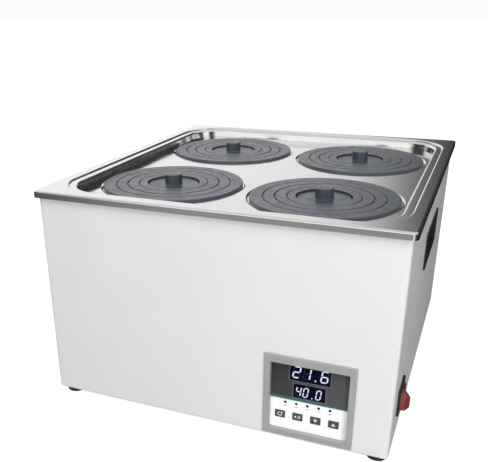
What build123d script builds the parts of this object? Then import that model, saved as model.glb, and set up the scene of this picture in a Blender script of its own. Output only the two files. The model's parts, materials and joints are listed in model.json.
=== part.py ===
"""Bench-top water bath: a white sheet-steel case round a stainless tank, with a four-hole cover,
a nest of concentric rings and a knobbed lid in each hole, a front temperature controller and a
rocker switch on the right-hand side.

Millimetres, +Z up. The origin is on the bench, at the centre of the case's footprint. The control
panel faces -Y and the rocker switch is on the +X side.
"""

from build123d import *
import math
import os

os.makedirs("parts", exist_ok=True)

# ---------------------------------------------------------------- driving dimensions
# Case
CASE_W = 318.0
CASE_D = 347.0
CASE_H = 198.0  # from the case's underside to the top of the tank's rim
SHEET = 1.0
CASE_CORNER_R = 3.0
CASE_FOLD_R = 2.0
BASE_SHEET = 1.0
FLANGE_W = 20.0  # width of the folded-in flange under the case
TOP_OPENING_GAP = 2.2  # round the tank's seat
SCREW_HOLE_R = 1.6
BASE_SCREW_INSET = 8.0
BASE_SCREW_PITCH = 120.0
BASE_CORNER_R = 3.0
BASE_VENT = (26.0, 3.5)
BASE_VENT_PITCH = (34.0, 10.0)
BASE_VENTS_Y = 60.0

# Rear panel, which closes an opening in the back of the case
REAR_OPENING_W = 292.0
REAR_OPENING_H = 166.0
REAR_OPENING_ABOVE_CASE = 95.0
REAR_PANEL_W = 314.0
REAR_PANEL_H = 190.0
REAR_PANEL_ABOVE_CASE = 97.0
REAR_CORNER_R = 4.0
REAR_SCREW_INSET = 7.0
REAR_SCREW_PITCH = 80.0
REAR_SCREWS_ABOVE_CASE = 98.0
REAR_VENT = (46.0, 3.2)
REAR_VENT_PITCH = (60.0, 9.0)
REAR_VENTS_X = -60.0
REAR_VENTS_ABOVE_CASE = 45.0

# Feet
FOOT_H = 6.0
FOOT_R = 9.0
FOOT_INSET_X = 10.4
FOOT_INSET_Y = 14.0
FOOT_HOLE_R = 2.1
FOOT_SEAT_R = 4.6  # counterbore for the screw's head
FOOT_SEAT_Z = 3.4

# Tank: a gastronorm 2/3 pan, 325 x 354 over its rim and 100 deep
RIM_W = 325.0
RIM_D = 354.0
RIM_LIP = 6.0
RIM_CORNER_R = 4.0
RIM_BAND = 11.0
RIM_EDGE_R = 1.8
SEAT_CORNER_R = 42.0
SEAT_EDGE_R = 1.8
SEAT_DROP = 2.4
SEAT_LEDGE = 3.7
TANK_DEPTH = 100.0
TANK_TAPER = 4.0
TANK_FLOOR_R = 14.0

# Cover plate and its four openings
COVER_GAP = 0.4
COVER_BAND = 6.9
DECK_DROP = 9.2  # rim top down to the cover's flat deck
DECK_SLOPE = 1.2
COVER_BEND_R = 2.4
LID_PITCH_X = 144.6
LID_PITCH_Y = 160.4
HOLE_R = 59.0
HOLE_EDGE_H = 4.0
RECESS_R = 66.6
RECESS_DROP = 1.3
RECESS_BEVEL = 1.8

# Concentric rings: the radius of each joint line, from the centre lid outwards
JOINT_RADII = (24.1, 32.4, 43.1, 53.5, 65.5)
GROOVES = (1.1, 0.7, 1.1, 0.8)
RING_T = 3.4
RING_STEP = 2.6
RING_PLAY = 0.6  # gap between two neighbours' lower halves
COLLAR_OUT_R = 58.4
COLLAR_IN_R = 56.4
COLLAR_DROP = 4.0
CENTRE_SINK = 1.7  # the centre lid sits this far below the tops of the rings
LEDGE_W = 1.5  # wall round the ledge the centre lid sits on
KNOB_R = 8.1
KNOB_H = 9.6

# Control panel, on the front face
PANEL_X = 90.3
PANEL_SIZE = 77.5
PANEL_ABOVE_CASE = 3.2  # lower edge of the bezel above the case's underside
PANEL_PROUD = 2.0
PANEL_RECESS = 4.5
WINDOW_W = 66.8
WINDOW_H = 65.2
WINDOW_ABOVE_CASE = 8.3
DIVIDER_ABOVE_CASE = 37.6
FASCIA_T = 1.5
FASCIA_MARGIN = 3.4  # how far the fascia runs behind the bezel on each side
UPPER_DISPLAY = (34.4, 18.4)
LOWER_DISPLAY = (27.2, 13.4)
DISPLAY_X = 90.2
UPPER_DISPLAY_ABOVE_CASE = 66.4
LOWER_DISPLAY_ABOVE_CASE = 47.7
LED_R = 1.2
LED_PITCH = 9.65
LED_X = 89.3
LED_ABOVE_CASE = 34.5
KEY_W = 8.8
KEY_H = 7.0
KEY_PITCH = 15.5
KEY_X = 89.0
KEY_ABOVE_CASE = 21.9
KEY_PROUD = 0.5
KEY_TRAVEL = 0.4

# Handles, rocker switch and mains inlet
HANDLE_L = 94.0
HANDLE_H = 35.0
HANDLE_ABOVE_CASE = 138.0
HANDLE_DEPTH = 12.0
HANDLE_PROUD = 1.5
HANDLE_WALL = 1.5
HANDLE_FLANGE = 3.0  # border of the grip cup outside its pocket
HANDLE_CLEARANCE = 0.5
SWITCH_FLANGE = 1.5  # border of the switch bezel outside its body
SWITCH_CLEARANCE = 0.3
SWITCH_Y = -130.5
SWITCH_ABOVE_CASE = 37.8
SWITCH_L = 31.0
SWITCH_H = 25.0
ROCKER_TILT = 16.0
INLET_X = 95.0
INLET_Z = 52.0
INLET_BODY = (28.4, 26.4)
INLET_CLEARANCE = 0.6

# ---------------------------------------------------------------- levels and outlines that follow
CASE_BOTTOM = FOOT_H + BASE_SHEET
RIM_TOP = CASE_BOTTOM + CASE_H
GASKET_T = 1.0
CASE_TOP = RIM_TOP - SHEET - GASKET_T
FRONT = -CASE_D / 2
BACK = CASE_D / 2
SIDE = CASE_W / 2
FOOT_X = SIDE - FOOT_INSET_X
FOOT_Y = BACK - FOOT_INSET_Y

SEAT_W = RIM_W - 2 * RIM_BAND
SEAT_D = RIM_D - 2 * RIM_BAND
SEAT_TOP = RIM_TOP - SEAT_DROP
COVER_TOP = SEAT_TOP + SHEET
COVER_W = SEAT_W - 2 * COVER_GAP
COVER_D = SEAT_D - 2 * COVER_GAP
TANK_W = SEAT_W - 2 * SEAT_LEDGE
TANK_D = SEAT_D - 2 * SEAT_LEDGE
TANK_R = SEAT_CORNER_R - SEAT_LEDGE
TANK_FLOOR = RIM_TOP - TANK_DEPTH
TANK_UNDERSIDE = TANK_FLOOR - SHEET

DECK_TOP = RIM_TOP - DECK_DROP
RECESS_TOP = DECK_TOP - RECESS_DROP
LID_TOP = RECESS_TOP + RING_T
OPENINGS = {
    "front_left": (-LID_PITCH_X / 2, -LID_PITCH_Y / 2),
    "front_right": (LID_PITCH_X / 2, -LID_PITCH_Y / 2),
    "rear_left": (-LID_PITCH_X / 2, LID_PITCH_Y / 2),
    "rear_right": (LID_PITCH_X / 2, LID_PITCH_Y / 2),
}

BEZEL_Z = CASE_BOTTOM + PANEL_ABOVE_CASE + PANEL_SIZE / 2
WINDOW_BOTTOM = CASE_BOTTOM + WINDOW_ABOVE_CASE
WINDOW_Z = WINDOW_BOTTOM + WINDOW_H / 2
DIVIDER_Z = CASE_BOTTOM + DIVIDER_ABOVE_CASE
FASCIA_FRONT = FRONT - PANEL_PROUD + PANEL_RECESS
COLLAR_T = 1.4
COLLAR_W = WINDOW_W + 2 * COLLAR_T
COLLAR_H = WINDOW_H + 2 * COLLAR_T
BOARD_FRONT = FASCIA_FRONT + 9.0
BOARD_T = 1.6

HANDLE_Z = CASE_BOTTOM + HANDLE_ABOVE_CASE
SWITCH_Z = CASE_BOTTOM + SWITCH_ABOVE_CASE


def front_plane(y):
    """Upright sketch plane at depth y, seen from the front: local x is +X, local y is +Z."""
    return Plane(origin=(0, y, 0), x_dir=(1, 0, 0), z_dir=(0, -1, 0))


def side_plane(x, sign):
    """Upright sketch plane on the +X side (sign 1) or the -X side (sign -1), facing outwards."""
    return Plane(origin=(x, 0, 0), x_dir=(0, sign, 0), z_dir=(sign, 0, 0))


def grid(dx, dy, nx, ny, cx=0.0, cy=0.0):
    """Centres of an nx by ny grid, as plain (x, y) pairs."""
    xs = [cx + dx * (i - (nx - 1) / 2) for i in range(nx)]
    ys = [cy + dy * (j - (ny - 1) / 2) for j in range(ny)]
    return [(x, y) for x in xs for y in ys]


FOOT_PLACES = grid(2 * FOOT_X, 2 * FOOT_Y, 2, 2)
BASE_SCREW_PLACES = grid(CASE_W - 2 * BASE_SCREW_INSET, BASE_SCREW_PITCH, 2, 3)
REAR_SCREW_PLACES = grid(
    CASE_W - 2 * REAR_SCREW_INSET, REAR_SCREW_PITCH, 2, 3, 0, CASE_BOTTOM + REAR_SCREWS_ABOVE_CASE
)

# ================================================================ case
with BuildPart() as casing:
    with BuildSketch(Plane.XY.offset(CASE_BOTTOM)):
        RectangleRounded(CASE_W, CASE_D, CASE_CORNER_R)
    extrude(amount=CASE_TOP - CASE_BOTTOM)
    fillet(casing.faces().sort_by(Axis.Z)[0].edges(), radius=CASE_FOLD_R)
    fillet(casing.faces().sort_by(Axis.Z)[-1].edges(), radius=CASE_FOLD_R / 2)
    # inside of the folded sheet
    with BuildSketch(Plane.XY.offset(CASE_BOTTOM + SHEET)):
        RectangleRounded(CASE_W - 2 * SHEET, CASE_D - 2 * SHEET, CASE_CORNER_R - SHEET)
    extrude(amount=CASE_TOP - CASE_BOTTOM - 2 * SHEET, mode=Mode.SUBTRACT)
    # narrow return flange at the top, wide one underneath
    with BuildSketch(Plane.XY.offset(CASE_TOP)):
        RectangleRounded(
            SEAT_W + 2 * TOP_OPENING_GAP, SEAT_D + 2 * TOP_OPENING_GAP, SEAT_CORNER_R + 2
        )
    extrude(amount=-2 * SHEET, mode=Mode.SUBTRACT)
    with BuildSketch(Plane.XY.offset(CASE_BOTTOM)):
        RectangleRounded(CASE_W - 2 * FLANGE_W, CASE_D - 2 * FLANGE_W, 6)
    extrude(amount=2 * SHEET, mode=Mode.SUBTRACT)
    # rear opening, closed by the rear panel
    with BuildSketch(front_plane(BACK)):
        with Locations((0, CASE_BOTTOM + REAR_OPENING_ABOVE_CASE)):
            RectangleRounded(REAR_OPENING_W, REAR_OPENING_H, REAR_CORNER_R)
    extrude(amount=2 * SHEET, both=True, mode=Mode.SUBTRACT)
    # control panel cut-out
    with BuildSketch(front_plane(FRONT)):
        with Locations((PANEL_X, WINDOW_Z)):
            RectangleRounded(COLLAR_W + 0.6, COLLAR_H + 0.6, 1.5)
    extrude(amount=2 * SHEET, both=True, mode=Mode.SUBTRACT)
    # handle openings in both sides
    with BuildSketch(side_plane(0, 1)):
        with Locations((0, HANDLE_Z)):
            RectangleRounded(
                HANDLE_L - 2 * (HANDLE_FLANGE - HANDLE_CLEARANCE),
                HANDLE_H - 2 * (HANDLE_FLANGE - HANDLE_CLEARANCE),
                3,
            )
    extrude(amount=CASE_W, both=True, mode=Mode.SUBTRACT)
    # rocker switch cut-out, right-hand side only
    with BuildSketch(side_plane(SIDE, 1)):
        with Locations((SWITCH_Y, SWITCH_Z)):
            RectangleRounded(
                SWITCH_L - 2 * (SWITCH_FLANGE - SWITCH_CLEARANCE),
                SWITCH_H - 2 * (SWITCH_FLANGE - SWITCH_CLEARANCE),
                1,
            )
    extrude(amount=2 * SHEET, both=True, mode=Mode.SUBTRACT)
    # screw holes: feet and base plate below, rear panel behind
    with BuildSketch(Plane.XY.offset(CASE_BOTTOM)):
        with Locations(*FOOT_PLACES):
            Circle(FOOT_HOLE_R)
        with Locations(*BASE_SCREW_PLACES):
            Circle(SCREW_HOLE_R)
    extrude(amount=2 * SHEET, mode=Mode.SUBTRACT)
    with BuildSketch(front_plane(BACK)):
        with Locations(*REAR_SCREW_PLACES):
            Circle(SCREW_HOLE_R)
    extrude(amount=2 * SHEET, both=True, mode=Mode.SUBTRACT)
casing.part.label = "casing"
export_step(casing.part, "parts/casing.step")

with BuildPart() as rear_panel:
    with BuildSketch(front_plane(BACK + SHEET)):
        with Locations((0, CASE_BOTTOM + REAR_PANEL_ABOVE_CASE)):
            RectangleRounded(REAR_PANEL_W, REAR_PANEL_H, REAR_CORNER_R)
        # mains inlet cut-out
        with Locations((INLET_X, INLET_Z)):
            Rectangle(
                INLET_BODY[0] + INLET_CLEARANCE, INLET_BODY[1] + INLET_CLEARANCE,
                mode=Mode.SUBTRACT,
            )
        # ventilation slots
        with Locations((REAR_VENTS_X, CASE_BOTTOM + REAR_VENTS_ABOVE_CASE)):
            with GridLocations(*REAR_VENT_PITCH, 3, 6):
                SlotOverall(*REAR_VENT, mode=Mode.SUBTRACT)
        with Locations(*REAR_SCREW_PLACES):
            Circle(SCREW_HOLE_R, mode=Mode.SUBTRACT)
    extrude(amount=SHEET)
rear_panel.part.label = "rear_panel"
export_step(rear_panel.part, "parts/rear_panel.step")

with BuildPart() as base_plate:
    with BuildSketch(Plane.XY.offset(FOOT_H)):
        RectangleRounded(CASE_W - 6, CASE_D - 6, BASE_CORNER_R)
        with Locations(*FOOT_PLACES):
            Circle(FOOT_HOLE_R, mode=Mode.SUBTRACT)
        with Locations(*BASE_SCREW_PLACES):
            Circle(SCREW_HOLE_R, mode=Mode.SUBTRACT)
        with Locations((0, BASE_VENTS_Y)):
            with GridLocations(*BASE_VENT_PITCH, 5, 7):
                SlotOverall(*BASE_VENT, mode=Mode.SUBTRACT)
    extrude(amount=BASE_SHEET)
base_plate.part.label = "base_plate"
export_step(base_plate.part, "parts/base_plate.step")

# ================================================================ feet and screws
with BuildPart() as rubber_feet:
    with BuildSketch():
        with Locations(*FOOT_PLACES):
            Circle(FOOT_R)
    extrude(amount=FOOT_H)
    fillet(rubber_feet.edges().group_by(Axis.Z)[0], radius=1.2)
    with BuildSketch():
        with Locations(*FOOT_PLACES):
            Circle(FOOT_SEAT_R)
    extrude(amount=FOOT_SEAT_Z, mode=Mode.SUBTRACT)
    with BuildSketch():
        with Locations(*FOOT_PLACES):
            Circle(FOOT_HOLE_R)
    extrude(amount=FOOT_H, mode=Mode.SUBTRACT)
rubber_feet.part.label = "rubber_feet"
export_step(rubber_feet.part, "parts/rubber_feet.step")


def pan_screws(places, plane, head_r, head_h, shank_r, shank_l):
    """Cross-head screws at the (x, y) places: heads stand out of the plane, shanks go in."""
    with BuildPart() as screws:
        with BuildSketch(plane):
            with Locations(*places):
                Circle(head_r)
        extrude(amount=head_h)
        outward = Axis(plane.origin, plane.z_dir)
        fillet(screws.edges().group_by(outward)[-1], radius=head_h * 0.6)
        with BuildSketch(plane):
            with Locations(*places):
                Circle(shank_r)
        extrude(amount=-shank_l)
        with BuildSketch(plane.offset(head_h)):
            with Locations(*places):
                Rectangle(head_r * 1.1, head_r * 0.26)
                Rectangle(head_r * 0.26, head_r * 1.1)
        extrude(amount=-head_h * 0.55, mode=Mode.SUBTRACT)
    return screws.part


# Planes that face down under the base (local y is then -Y) and out behind the rear panel
BELOW_FOOT_SEAT = Plane(origin=(0, 0, FOOT_SEAT_Z), x_dir=(1, 0, 0), z_dir=(0, 0, -1))
BELOW_BASE = Plane(origin=(0, 0, FOOT_H), x_dir=(1, 0, 0), z_dir=(0, 0, -1))
BEHIND = Plane(origin=(0, BACK + SHEET, 0), x_dir=(-1, 0, 0), z_dir=(0, 1, 0))

foot_screws = pan_screws(
    FOOT_PLACES, BELOW_FOOT_SEAT, head_r=3.8, head_h=2.4, shank_r=2.0, shank_l=9.0
)
foot_screws.label = "foot_screws"
export_step(foot_screws, "parts/foot_screws.step")

base_screws = pan_screws(
    BASE_SCREW_PLACES, BELOW_BASE, head_r=3.0, head_h=1.8, shank_r=1.5, shank_l=7.0
)
base_screws.label = "base_screws"
export_step(base_screws, "parts/base_screws.step")

rear_screws = pan_screws(
    REAR_SCREW_PLACES, BEHIND, head_r=2.8, head_h=1.4, shank_r=1.5, shank_l=4.5
)
rear_screws.label = "rear_screws"
export_step(rear_screws, "parts/rear_screws.step")


# ================================================================ recessed handles
def grip_cup(sign):
    """Black plastic grip cup: a flange on the case's side, and a pocket behind it."""
    with BuildPart() as cup:
        with BuildSketch(side_plane(sign * SIDE, sign)):
            with Locations((0, HANDLE_Z)):
                RectangleRounded(HANDLE_L, HANDLE_H, 4)
        extrude(amount=HANDLE_PROUD)
        fillet(cup.edges().group_by(Axis((0, 0, 0), (sign, 0, 0)))[-1], radius=0.8)
        with BuildSketch(side_plane(sign * SIDE, sign)):
            with Locations((0, HANDLE_Z)):
                RectangleRounded(
                    HANDLE_L - 2 * HANDLE_FLANGE, HANDLE_H - 2 * HANDLE_FLANGE, 3
                )
        extrude(amount=-HANDLE_DEPTH)
        # the pocket that the fingers reach into
        with BuildSketch(side_plane(sign * (SIDE + HANDLE_PROUD), sign)):
            with Locations((0, HANDLE_Z)):
                RectangleRounded(
                    HANDLE_L - 2 * (HANDLE_FLANGE + HANDLE_WALL),
                    HANDLE_H - 2 * (HANDLE_FLANGE + HANDLE_WALL),
                    2,
                )
        extrude(amount=-(HANDLE_DEPTH + HANDLE_PROUD - HANDLE_WALL), mode=Mode.SUBTRACT)
    return cup.part


for sign, name in ((-1, "left_handle"), (1, "right_handle")):
    handle = grip_cup(sign)
    handle.label = name
    export_step(handle, f"parts/{name}.step")

# ================================================================ tank
def pan_form(grow, bottom, floor_r):
    """Tapered pan from the seat's level down to bottom, grown outwards all round by grow."""
    inset = (SEAT_TOP - bottom) * math.tan(math.radians(TANK_TAPER))
    with BuildPart() as form:
        with BuildSketch(Plane.XY.offset(SEAT_TOP)):
            RectangleRounded(TANK_W + 2 * grow, TANK_D + 2 * grow, TANK_R + grow)
        with BuildSketch(Plane.XY.offset(bottom)):
            RectangleRounded(
                TANK_W + 2 * (grow - inset), TANK_D + 2 * (grow - inset), TANK_R + grow
            )
        loft(ruled=True)
        fillet(form.faces().sort_by(Axis.Z)[0].edges(), radius=floor_r)
    return form.part


pan_outside = pan_form(SHEET, TANK_UNDERSIDE, TANK_FLOOR_R + SHEET)
pan_inside = pan_form(0, TANK_FLOOR, TANK_FLOOR_R)

HEATER_X = 25.0
HEATER_Y = 118.0
PROBE_Y = 100.0
CUTOUT_PLACE = (60.0, -40.0)
GLANDS = ((-HEATER_X, HEATER_Y), (HEATER_X, HEATER_Y), (0, PROBE_Y))
GLAND_SHANK_R = 6.0
HEATER_TUBE_R = 4.0
PROBE_R = 3.0
PROBE_L = 34.0
GLAND_HEX_R = 9.0
GLAND_HEX_H = 4.0
GLAND_SHANK_L = 9.0
GLAND_NUT_R = 10.0
GLAND_NUT_H = 5.0

with BuildPart() as tank:
    # rim: flat band with a turned-down lip
    with BuildSketch(Plane.XY.offset(RIM_TOP)):
        RectangleRounded(RIM_W, RIM_D, RIM_CORNER_R)
    extrude(amount=-RIM_LIP)
    fillet(tank.faces().sort_by(Axis.Z)[-1].edges(), radius=RIM_EDGE_R)
    with BuildSketch(Plane.XY.offset(RIM_TOP - SHEET)):
        RectangleRounded(RIM_W - 2 * SHEET, RIM_D - 2 * SHEET, RIM_CORNER_R - SHEET)
    extrude(amount=-RIM_LIP, mode=Mode.SUBTRACT)
    # stepped seat for the cover, and the pan below it
    with BuildSketch(Plane.XY.offset(RIM_TOP - SHEET)):
        RectangleRounded(SEAT_W + 2 * SHEET, SEAT_D + 2 * SHEET, SEAT_CORNER_R + SHEET)
    extrude(amount=-SEAT_DROP)
    add(pan_outside)
    with BuildSketch(Plane.XY.offset(RIM_TOP)):
        RectangleRounded(SEAT_W, SEAT_D, SEAT_CORNER_R)
    extrude(amount=-SEAT_DROP, mode=Mode.SUBTRACT)
    add(pan_inside, mode=Mode.SUBTRACT)
    seat_edge = tank.faces().filter_by(GeomType.PLANE).sort_by(Axis.Z)[-1].inner_wires()[0]
    fillet(seat_edge.edges(), radius=SEAT_EDGE_R)
    # holes for the heater's two glands and the probe's
    with Locations(*[(x, y, TANK_FLOOR) for x, y in GLANDS]):
        Hole(radius=GLAND_SHANK_R + 0.1, depth=2 * SHEET)
tank.part.label = "tank"
export_step(tank.part, "parts/tank.step")

GASKET_INSET = 3.0
with BuildPart() as tank_gasket:
    with BuildSketch(Plane.XY.offset(CASE_TOP)):
        RectangleRounded(CASE_W - GASKET_INSET, CASE_D - GASKET_INSET, CASE_CORNER_R)
        RectangleRounded(
            SEAT_W + 2 * GASKET_INSET, SEAT_D + 2 * GASKET_INSET, SEAT_CORNER_R + GASKET_INSET,
            mode=Mode.SUBTRACT,
        )
    extrude(amount=GASKET_T)
tank_gasket.part.label = "tank_gasket"
export_step(tank_gasket.part, "parts/tank_gasket.step")

INSULATION_TOP = SEAT_TOP - 6
INSULATION_BOTTOM = TANK_UNDERSIDE - 13
INSULATION_GAP = 0.6
GLAND_ROOM_R = 13.0
CUTOUT_ROOM_R = 15.0
with BuildPart() as tank_insulation:
    with BuildSketch(Plane.XY.offset(INSULATION_BOTTOM)):
        RectangleRounded(CASE_W - 8, CASE_D - 8, 6)
    extrude(amount=INSULATION_TOP - INSULATION_BOTTOM)
    pan_room = pan_form(SHEET + INSULATION_GAP, TANK_UNDERSIDE - INSULATION_GAP, TANK_FLOOR_R)
    add(pan_room, mode=Mode.SUBTRACT)
    # room for the handles, the glands and the thermal cut-out
    with BuildSketch(side_plane(0, 1)):
        with Locations((0, HANDLE_Z)):
            Rectangle(HANDLE_L, HANDLE_H)
    extrude(amount=CASE_W, both=True, mode=Mode.SUBTRACT)
    with Locations(*[(x, y, TANK_UNDERSIDE) for x, y in GLANDS]):
        Hole(radius=GLAND_ROOM_R, depth=20)
    with Locations((*CUTOUT_PLACE, TANK_UNDERSIDE)):
        Hole(radius=CUTOUT_ROOM_R, depth=20)
tank_insulation.part.label = "tank_insulation"
export_step(tank_insulation.part, "parts/tank_insulation.step")

# ================================================================ heater, probe, thermal cut-out
HEATER_Z = TANK_FLOOR + 13.5
HEATER_END_Z = TANK_UNDERSIDE - 16
LOOP_X = 100.0
LOOP_INNER_X = 42.0
LOOP_FRONT_Y = -118.0
LOOP_INNER_Y = 70.0
with BuildPart() as heating_element:
    with BuildLine():
        FilletPolyline(
            (-HEATER_X, HEATER_Y, HEATER_END_Z),
            (-HEATER_X, HEATER_Y, HEATER_Z),
            (-LOOP_X, HEATER_Y, HEATER_Z),
            (-LOOP_X, LOOP_FRONT_Y, HEATER_Z),
            (-LOOP_INNER_X, LOOP_FRONT_Y, HEATER_Z),
            (-LOOP_INNER_X, LOOP_INNER_Y, HEATER_Z),
            (LOOP_INNER_X, LOOP_INNER_Y, HEATER_Z),
            (LOOP_INNER_X, LOOP_FRONT_Y, HEATER_Z),
            (LOOP_X, LOOP_FRONT_Y, HEATER_Z),
            (LOOP_X, HEATER_Y, HEATER_Z),
            (HEATER_X, HEATER_Y, HEATER_Z),
            (HEATER_X, HEATER_Y, HEATER_END_Z),
            radius=9,
        )
    with BuildSketch(Plane(origin=(-HEATER_X, HEATER_Y, HEATER_END_Z), z_dir=(0, 0, 1))):
        Circle(HEATER_TUBE_R)
    sweep()
heating_element.part.label = "heating_element"
export_step(heating_element.part, "parts/heating_element.step")

with BuildPart() as temperature_probe:
    with BuildSketch(Plane.XY.offset(HEATER_END_Z)):
        with Locations((0, PROBE_Y)):
            Circle(PROBE_R)
    extrude(amount=PROBE_L)
    fillet(temperature_probe.edges().group_by(Axis.Z)[-1], radius=PROBE_R - 0.1)
temperature_probe.part.label = "temperature_probe"
export_step(temperature_probe.part, "parts/temperature_probe.step")

GLAND_BORES = (HEATER_TUBE_R + 0.05, HEATER_TUBE_R + 0.05, PROBE_R + 0.05)
with BuildPart() as tank_glands:
    with BuildSketch(Plane.XY.offset(TANK_FLOOR)):
        with Locations(*GLANDS):
            RegularPolygon(radius=GLAND_HEX_R, side_count=6)
    extrude(amount=GLAND_HEX_H)
    with BuildSketch(Plane.XY.offset(TANK_FLOOR)):
        with Locations(*GLANDS):
            Circle(GLAND_SHANK_R)
    extrude(amount=-GLAND_SHANK_L)
    for place, bore_r in zip(GLANDS, GLAND_BORES):
        with BuildSketch(Plane.XY.offset(TANK_FLOOR + GLAND_HEX_H)):
            with Locations(place):
                Circle(bore_r)
        extrude(amount=-(GLAND_HEX_H + GLAND_SHANK_L + 1), mode=Mode.SUBTRACT)
tank_glands.part.label = "tank_glands"
export_step(tank_glands.part, "parts/tank_glands.step")

with BuildPart() as gland_nuts:
    with BuildSketch(Plane.XY.offset(TANK_UNDERSIDE)):
        with Locations(*GLANDS):
            RegularPolygon(radius=GLAND_NUT_R, side_count=6)
            Circle(GLAND_SHANK_R + 0.05, mode=Mode.SUBTRACT)
    extrude(amount=-GLAND_NUT_H)
gland_nuts.part.label = "gland_nuts"
export_step(gland_nuts.part, "parts/gland_nuts.step")

CUTOUT_FLANGE_T = 1.2
CUTOUT_H = 8.0
TAB = (0.8, 6.3)  # blade terminal
with BuildPart() as thermal_cutout:
    with BuildSketch(Plane.XY.offset(TANK_UNDERSIDE)):
        with Locations(CUTOUT_PLACE):
            Circle(11)
    extrude(amount=-CUTOUT_FLANGE_T)
    with BuildSketch(Plane.XY.offset(TANK_UNDERSIDE - CUTOUT_FLANGE_T)):
        with Locations(CUTOUT_PLACE):
            Circle(8)
    extrude(amount=-CUTOUT_H)
    with BuildSketch(Plane.XY.offset(TANK_UNDERSIDE - CUTOUT_FLANGE_T - CUTOUT_H)):
        with Locations(CUTOUT_PLACE):
            with GridLocations(7, 1, 2, 1):
                Rectangle(*TAB)
    extrude(amount=-8)
thermal_cutout.part.label = "thermal_cutout"
export_step(thermal_cutout.part, "parts/thermal_cutout.step")

# ================================================================ perforated shelf over the heater
SHELF_TOP = TANK_FLOOR + 26
SHELF_W = 266.0
SHELF_D = 296.0
SHELF_HOLE_R = 5.0
SHELF_HOLE_PITCH = 26.0
SHELF_LEG_R = 3.0
SHELF_LEGS = (228.0, 260.0)
with BuildPart() as perforated_shelf:
    with BuildSketch(Plane.XY.offset(SHELF_TOP)):
        RectangleRounded(SHELF_W, SHELF_D, 14)
        with GridLocations(SHELF_HOLE_PITCH, SHELF_HOLE_PITCH, 9, 10):
            Circle(SHELF_HOLE_R, mode=Mode.SUBTRACT)
    extrude(amount=-SHEET)
    with BuildSketch(Plane.XY.offset(TANK_FLOOR)):
        with GridLocations(*SHELF_LEGS, 2, 2):
            Circle(SHELF_LEG_R)
    extrude(amount=SHELF_TOP - SHEET - TANK_FLOOR)
perforated_shelf.part.label = "perforated_shelf"
export_step(perforated_shelf.part, "parts/perforated_shelf.step")

# ================================================================ cover plate
SLOPE_RUN = DECK_SLOPE / (COVER_TOP - DECK_TOP)
BEND_W = COVER_W - 2 * COVER_BAND
BEND_D = COVER_D - 2 * COVER_BAND
BEND_R = SEAT_CORNER_R - COVER_GAP - COVER_BAND


def dish_form(grow, bottom):
    """The cover's sunken deck as a solid with sloping sides, grown outwards by grow."""
    inset = (COVER_TOP - bottom) * SLOPE_RUN
    with BuildPart() as form:
        with BuildSketch(Plane.XY.offset(COVER_TOP)):
            RectangleRounded(BEND_W + 2 * grow, BEND_D + 2 * grow, BEND_R + grow)
        with BuildSketch(Plane.XY.offset(bottom)):
            RectangleRounded(
                BEND_W + 2 * (grow - inset), BEND_D + 2 * (grow - inset), BEND_R + grow - inset
            )
        loft(ruled=True)
    return form.part


dish_outside = dish_form(1.1, DECK_TOP - SHEET)
dish_inside = dish_form(0, DECK_TOP)
ON_BASE = (Align.CENTER, Align.CENTER, Align.MIN)

with BuildPart() as cover_plate:
    with BuildSketch(Plane.XY.offset(SEAT_TOP)):
        RectangleRounded(COVER_W, COVER_D, SEAT_CORNER_R - COVER_GAP)
    extrude(amount=SHEET)
    fillet(cover_plate.faces().sort_by(Axis.Z)[-1].edges(), radius=0.5)
    add(dish_outside)
    add(dish_inside, mode=Mode.SUBTRACT)
    bends = cover_plate.faces().filter_by(GeomType.PLANE).sort_by(Axis.Z)[-1].inner_wires()[0]
    fillet(bends.edges(), radius=COVER_BEND_R)
    # a shallow round recess for each nest of rings, with a down-turned edge round its hole
    with Locations(*[(x, y, RECESS_TOP - SHEET) for x, y in OPENINGS.values()]):
        Cylinder(RECESS_R + RECESS_BEVEL, SHEET + RECESS_DROP / 2, align=ON_BASE)
    with Locations(*[(x, y, RECESS_TOP - HOLE_EDGE_H) for x, y in OPENINGS.values()]):
        Cylinder(HOLE_R + SHEET, HOLE_EDGE_H, align=ON_BASE)
    with Locations(*[(x, y, RECESS_TOP) for x, y in OPENINGS.values()]):
        Cone(RECESS_R, RECESS_R + RECESS_BEVEL, RECESS_DROP, align=ON_BASE, mode=Mode.SUBTRACT)
        Hole(radius=HOLE_R, depth=2 * HOLE_EDGE_H)
cover_plate.part.label = "cover_plate"
export_step(cover_plate.part, "parts/cover_plate.step")


# ================================================================ nests of rings and lids
RING_MID = RECESS_TOP + RING_T / 2
CENTRE_TOP = LID_TOP - CENTRE_SINK
LEDGE_TOP = CENTRE_TOP - RING_T / 2
LEDGE_BOTTOM = CENTRE_TOP - RING_T
KNOB_TOP = CENTRE_TOP + KNOB_H


def turned(centre, outline):
    """A closed (radius, height) outline turned about the vertical line through centre."""
    x, y = centre
    with BuildPart() as body:
        with BuildSketch(Plane(origin=(x, y, 0), x_dir=(1, 0, 0), z_dir=(0, -1, 0))):
            with BuildLine():
                Polyline(*outline, close=True)
            make_face()
        revolve(axis=Axis((x, y, 0), (0, 0, 1)))
    return body.part


def joint_line(k):
    """Radii at joint line k: (upper inside, upper outside, lower inside, lower outside)."""
    r, groove, low = JOINT_RADII[k], GROOVES[k] / 2, JOINT_RADII[k] - RING_STEP
    return r - groove, r + groove, low - RING_PLAY / 2, low + RING_PLAY / 2


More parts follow.
